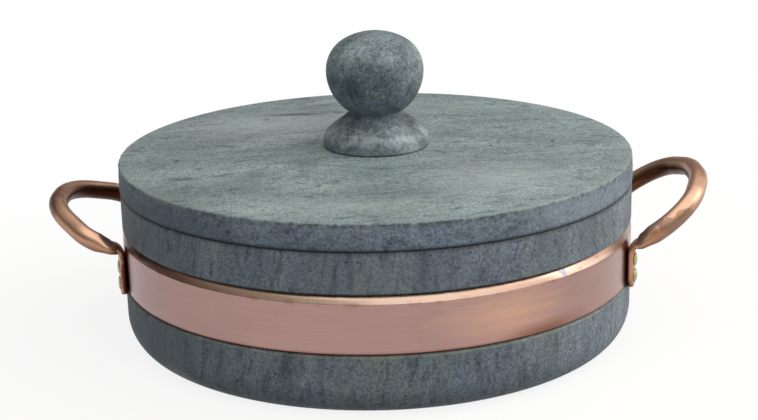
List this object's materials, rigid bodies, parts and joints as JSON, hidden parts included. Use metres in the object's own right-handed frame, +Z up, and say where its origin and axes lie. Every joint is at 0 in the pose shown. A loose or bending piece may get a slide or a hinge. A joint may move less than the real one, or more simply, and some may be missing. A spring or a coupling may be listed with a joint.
{
  "type": "soapstone pot",
  "caption": "Round soapstone pot with a flat stone lid, turned stone knob, copper band let into its wall and riveted copper tube handles.",
  "frame": {"origin": "centre of the pot's flat foot, on the surface it stands on", "axes": "+Z up along the turning axis, +X towards the right handle, -Y towards the viewer's side of the pot"},
  "size_m": [0.3379, 0.263, 0.1531],
  "materials": {
    "turned_soapstone": "turned and honed, oiled, fine grey veins",
    "rolled_copper": "rolled copper sheet and tube, bright, lightly brushed and handled",
    "brass": "plain brass, peened",
    "stainless_steel": "plain"
  },
  "bodies": {
    "pot": {"pot_body": "turned_soapstone", "copper_band": "rolled_copper", "left_handle": "rolled_copper", "right_handle": "rolled_copper", "left_front_lower_rivet": "brass", "left_front_upper_rivet": "brass", "left_rear_lower_rivet": "brass", "left_rear_upper_rivet": "brass", "right_front_lower_rivet": "brass", "right_front_upper_rivet": "brass", "right_rear_lower_rivet": "brass", "right_rear_upper_rivet": "brass", "band_joint_right_lower_rivet": "brass", "band_joint_right_upper_rivet": "brass", "band_joint_left_lower_rivet": "brass", "band_joint_left_upper_rivet": "brass"},
    "lid": {"lid": "turned_soapstone", "lid_knob": "turned_soapstone", "knob_insert": "brass", "knob_washer": "stainless_steel", "knob_screw": "stainless_steel"}
  },
  "joints": [
    {"name": "lid_lift", "type": "slide", "parent": "pot", "child": "lid", "axis": [0, 0, 1], "range_m": [0, 0.12]}
  ]
}
